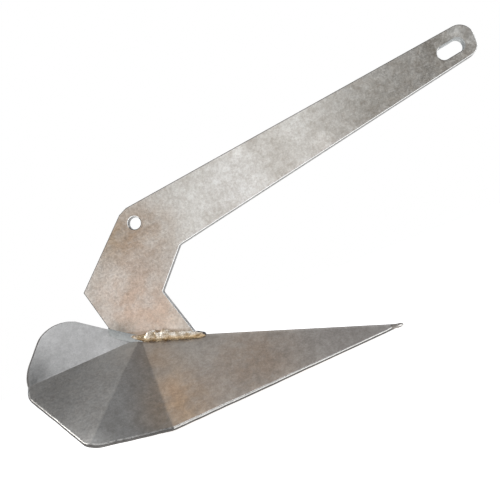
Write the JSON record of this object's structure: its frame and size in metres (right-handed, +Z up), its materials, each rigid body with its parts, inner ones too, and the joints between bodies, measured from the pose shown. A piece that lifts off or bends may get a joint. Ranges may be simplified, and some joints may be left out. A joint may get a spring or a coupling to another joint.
{
  "type": "plough anchor",
  "caption": "Welded galvanised plough anchor with a fixed gooseneck shank, a folded two-sided fluke, a shackle slot and a trip-line hole.",
  "frame": {"origin": "on the ground, under the centre of the anchor's box, as it rests on its tip and the two blade corners", "axes": "+X towards the tip and the shackle end of the shank, +Z up, +Y to port; the shank lies in the plane Y = 0"},
  "size_m": [0.5752, 0.2312, 0.286],
  "materials": {
    "shank_steel": "hot-dip galvanised, weathered",
    "fluke_steel": "hot-dip galvanised, weathered",
    "weld_metal": "rough galvanised weld bead",
    "ballast_metal": "plain cast block"
  },
  "bodies": {
    "root": {"shank": "shank_steel", "fluke_plate_starboard": "fluke_steel", "fluke_plate_port": "fluke_steel", "foot_weld_starboard": "weld_metal", "foot_weld_port": "weld_metal", "toe_weld": "weld_metal", "heel_weld": "weld_metal", "ballast_bulkhead": "fluke_steel", "ballast_cover": "fluke_steel", "tip_ballast": "ballast_metal", "cover_weld_starboard": "weld_metal", "cover_weld_port": "weld_metal", "bulkhead_weld": "weld_metal", "nose_weld": "weld_metal", "ridge_weld": "weld_metal", "seam_weld": "weld_metal"}
  },
  "joints": []
}
